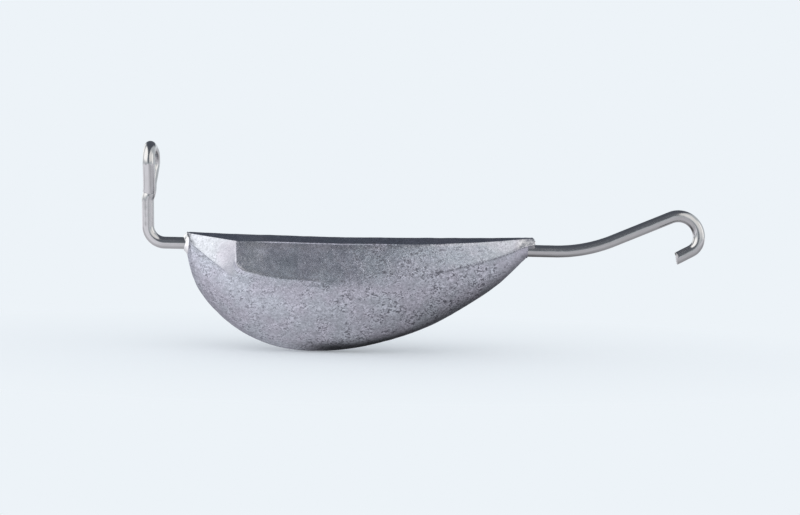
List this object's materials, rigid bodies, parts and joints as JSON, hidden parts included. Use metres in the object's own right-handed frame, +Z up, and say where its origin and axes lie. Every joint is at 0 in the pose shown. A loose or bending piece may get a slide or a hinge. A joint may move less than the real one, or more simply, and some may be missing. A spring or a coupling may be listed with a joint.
{
  "type": "fishing sinker",
  "caption": "Keel-shaped cast lead fishing weight on one bent stainless wire, with a closed line eye at the nose and an open hook at the tail.",
  "frame": {"origin": "middle of the hole in the line eye, at the front end of the wire", "axes": "+X aft, along the straight wire that runs through the lead, +Y across the keel, +Z up, away from the keel"},
  "size_m": [0.0698, 0.0088, 0.0256],
  "materials": {
    "stainless_wire": "drawn stainless wire, bright, with fine lengthwise lines",
    "cast_lead": "as-cast lead, blue grey, satin, with a fine grain and darker specks"
  },
  "bodies": {
    "root": {"through_wire": "stainless_wire", "keel_weight": "cast_lead"}
  },
  "joints": []
}
